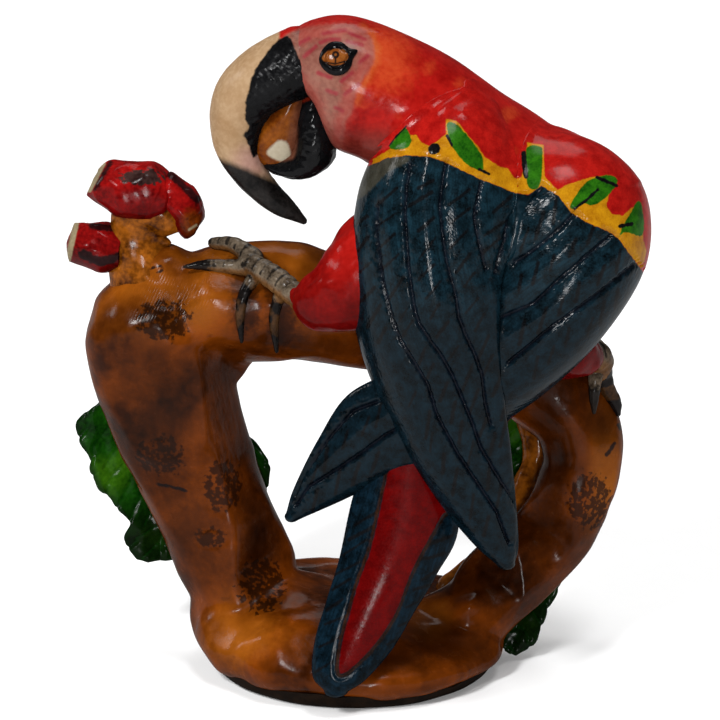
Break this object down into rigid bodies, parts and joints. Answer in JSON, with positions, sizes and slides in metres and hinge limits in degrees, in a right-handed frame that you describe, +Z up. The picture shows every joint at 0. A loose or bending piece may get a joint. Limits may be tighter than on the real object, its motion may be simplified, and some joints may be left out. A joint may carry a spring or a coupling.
{
  "type": "carved macaw figurine",
  "caption": "Small painted carving of a perched macaw on a looped branch with leaves and a flower, standing on a flat foot.",
  "frame": {"origin": "on the flat underside, beneath the middle of the carving", "axes": "+Z up; -Y towards the side that shows the bird's back and folded wings; +X towards the bird's right wing, so that the beak points to -X"},
  "size_m": [0.0501, 0.0288, 0.0603],
  "materials": {
    "scarlet_paint": "red stain under clear varnish, glossy",
    "petal_paint": "dark red stain with black edges, glossy",
    "bare_ivory": "bare polished nut, satin",
    "black_ink": "black ink under clear varnish, glossy",
    "amber_stain": "orange-brown stain under clear varnish, glossy",
    "wing_paint": "dark blue paint over carved feather lines, glossy",
    "tail_paint": "dark red and blue paint, glossy",
    "foot_paint": "grey wash with black bands, satin",
    "leaf_paint": "green paint with dark edges, glossy",
    "nut_skin": "the nut's own brown skin, rough"
  },
  "bodies": {
    "root": {"body": "scarlet_paint", "thigh_left": "scarlet_paint", "thigh_right": "scarlet_paint", "bract_upper": "petal_paint", "bract_right": "petal_paint", "bract_lower": "petal_paint", "upper_beak": "bare_ivory", "lower_beak": "black_ink", "tongue": "amber_stain", "wing_left": "wing_paint", "wing_right": "wing_paint", "tail": "tail_paint", "foot_left": "foot_paint", "foot_right": "foot_paint", "branch": "amber_stain", "vine": "amber_stain", "flower_stalk": "amber_stain", "leaf_left": "leaf_paint", "leaf_inner": "leaf_paint", "leaf_right_upper": "leaf_paint", "leaf_right_lower": "leaf_paint", "nut_skin": "nut_skin"}
  },
  "joints": []
}
